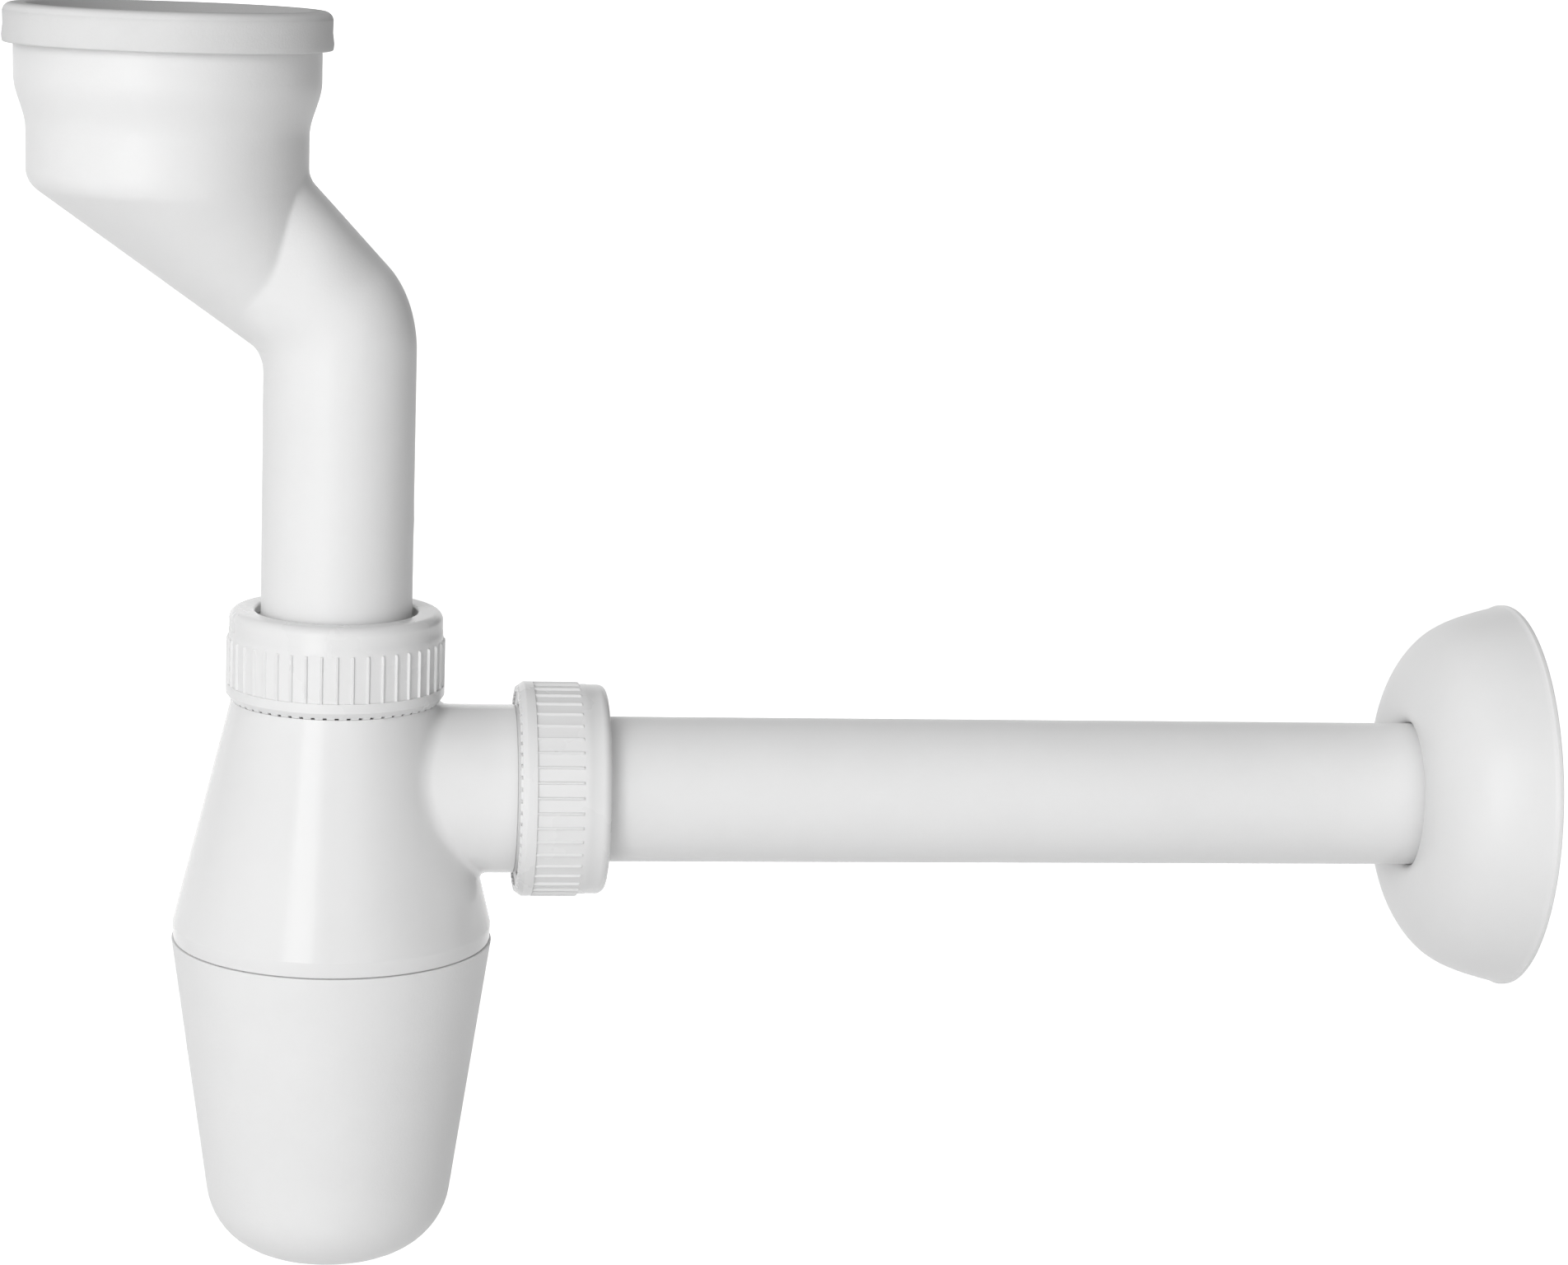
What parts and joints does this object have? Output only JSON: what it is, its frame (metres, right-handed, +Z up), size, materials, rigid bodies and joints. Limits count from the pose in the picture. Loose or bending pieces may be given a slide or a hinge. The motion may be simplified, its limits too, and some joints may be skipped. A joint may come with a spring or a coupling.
{
  "type": "urinal bottle trap",
  "caption": "Bottle trap for a wall-hung urinal: offset inlet funnel with a soft cuff, screw-off water cup, height-adjustable joint, horizontal outlet pipe and sliding wall flange.",
  "frame": {"origin": "centre of the inlet cuff's sealing bore, at the bore's upper edge, where the urinal's spigot goes in", "axes": "+Z up along the inlet axis, +X along the outlet pipe towards the wall"},
  "size_m": [0.4279, 0.1078, 0.3409],
  "materials": {
    "funnel_plastic": "satin",
    "cuff_rubber": "matte",
    "nut_plastic": "glossy",
    "ring_plastic": "satin",
    "seal_rubber": "matte",
    "body_plastic": "glossy",
    "pipe_plastic": "satin",
    "flange_plastic": "satin",
    "cup_plastic": "matte"
  },
  "bodies": {
    "inlet": {"inlet_funnel": "funnel_plastic", "inlet_cuff": "cuff_rubber"},
    "top_seal": {"top_cone_washer": "seal_rubber"},
    "trap": {"trap_body": "body_plastic"},
    "top_ring": {"top_slip_ring": "ring_plastic"},
    "top_nut": {"top_nut": "nut_plastic"},
    "outlet_seal": {"outlet_cone_washer": "seal_rubber"},
    "pipe": {"outlet_pipe": "pipe_plastic"},
    "flange": {"wall_flange": "flange_plastic"},
    "outlet_ring": {"outlet_slip_ring": "ring_plastic"},
    "outlet_nut": {"outlet_nut": "nut_plastic"},
    "cup_seal": {"cup_gasket": "seal_rubber"},
    "cup": {"bottle_cup": "cup_plastic"}
  },
  "joints": [
    {"name": "trap_height", "type": "slide", "parent": "inlet", "child": "top_seal", "axis": [0, 0, 1], "range_m": [-0.01, 0.03]},
    {"name": "trap_swivel", "type": "hinge", "parent": "top_seal", "child": "trap", "pos_m": [0.0458, 0, -0.2036], "axis": [0, 0, 1], "range_deg": [-180, 180]},
    {"name": "top_ring_lift", "type": "slide", "parent": "trap", "child": "top_ring", "axis": [0, 0, 1], "range_m": [0, 0.00905]},
    {"name": "top_nut_screw", "type": "hinge", "parent": "top_ring", "child": "top_nut", "pos_m": [0.0458, 0, -0.1666], "axis": [0, 0, 1], "range_deg": [0, 1080]},
    {"name": "outlet_seal_turn", "type": "hinge", "parent": "trap", "child": "outlet_seal", "pos_m": [0.1138, 0, -0.2036], "axis": [1, 0, 0], "range_deg": [-180, 180]},
    {"name": "pipe_slide", "type": "slide", "parent": "outlet_seal", "child": "pipe", "axis": [1, 0, 0], "range_m": [-0.012, 0.012]},
    {"name": "flange_slide", "type": "slide", "parent": "pipe", "child": "flange", "axis": [1, 0, 0], "range_m": [-0.19, 0.004]},
    {"name": "outlet_ring_slide", "type": "slide", "parent": "trap", "child": "outlet_ring", "axis": [1, 0, 0], "range_m": [0, 0.00905]},
    {"name": "outlet_nut_screw", "type": "hinge", "parent": "outlet_ring", "child": "outlet_nut", "pos_m": [0.1078, 0, -0.2036], "axis": [1, 0, 0], "range_deg": [0, 1080]},
    {"name": "cup_seal_drop", "type": "slide", "parent": "trap", "child": "cup_seal", "axis": [0, 0, -1], "range_m": [0, 0.00805]},
    {"name": "cup_unscrew", "type": "hinge", "parent": "cup_seal", "child": "cup", "pos_m": [0.0458, 0, -0.2836], "axis": [0, 0, -1], "range_deg": [0, 720]}
  ],
  "couplings": [
    {"joint": "top_ring_lift", "follows": "top_nut_screw", "m_per_rad": 0.00047746},
    {"joint": "outlet_ring_slide", "follows": "outlet_nut_screw", "m_per_rad": 0.00047746},
    {"joint": "cup_seal_drop", "follows": "cup_unscrew", "m_per_rad": 0.00063662}
  ]
}
